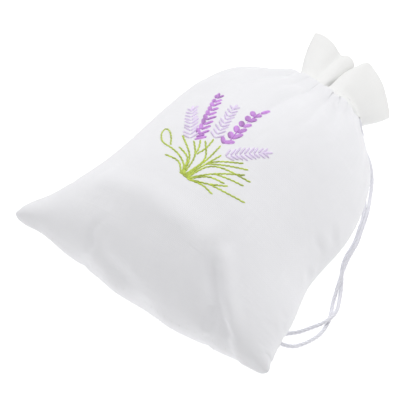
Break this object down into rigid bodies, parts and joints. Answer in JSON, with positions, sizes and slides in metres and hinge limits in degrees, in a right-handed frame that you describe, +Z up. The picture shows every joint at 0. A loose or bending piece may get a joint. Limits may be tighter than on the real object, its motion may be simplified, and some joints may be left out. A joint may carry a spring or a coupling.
{
  "type": "lavender sachet",
  "caption": "Filled cotton drawstring pouch lying on its back, with pointed bottom corners, a gathered frilled neck, a thin cord and an embroidered bunch of lavender on the front.",
  "frame": {"origin": "on the table, below the middle of the pouch and its frill, with the free cord left out", "axes": "+X across the pouch to the side where the cord comes out, +Y from the bottom seam to the frill, +Z up, out of the embroidered front"},
  "size_m": [0.1026, 0.1248, 0.0532],
  "materials": {
    "cotton": "matte plain-weave cotton",
    "dried_lavender": "loose dried flowers",
    "sewing_thread": "matte spun thread",
    "cord": "soft twisted cotton cord",
    "stem_thread": "satin embroidery thread",
    "purple_thread": "satin embroidery thread",
    "lilac_thread": "satin embroidery thread"
  },
  "bodies": {
    "pouch": {"front_panel": "cotton", "back_panel": "cotton", "lavender_fill": "dried_lavender", "front_casing": "cotton", "back_casing": "cotton", "front_frill": "cotton", "back_frill": "cotton", "front_facing": "cotton", "back_facing": "cotton", "left_seam_thread": "sewing_thread", "right_seam_thread": "sewing_thread", "bottom_seam_thread": "sewing_thread", "front_lower_stitch": "sewing_thread", "front_upper_stitch": "sewing_thread", "back_lower_stitch": "sewing_thread", "back_upper_stitch": "sewing_thread", "drawstring_turn": "cord", "stem_bunch": "stem_thread", "looped_stem": "stem_thread", "vivid_spike_left": "purple_thread", "vivid_spike_right": "purple_thread", "pale_spike_left": "lilac_thread", "pale_spike_middle": "lilac_thread", "pale_spike_right": "lilac_thread"},
    "drawstring": {"drawstring_tail_front": "cord", "drawstring_tail_back": "cord", "end_knot": "cord"}
  },
  "joints": [
    {"name": "drawstring_pull", "type": "slide", "parent": "pouch", "child": "drawstring", "axis": [1, 0, 0], "range_m": [0, 0.015]}
  ]
}
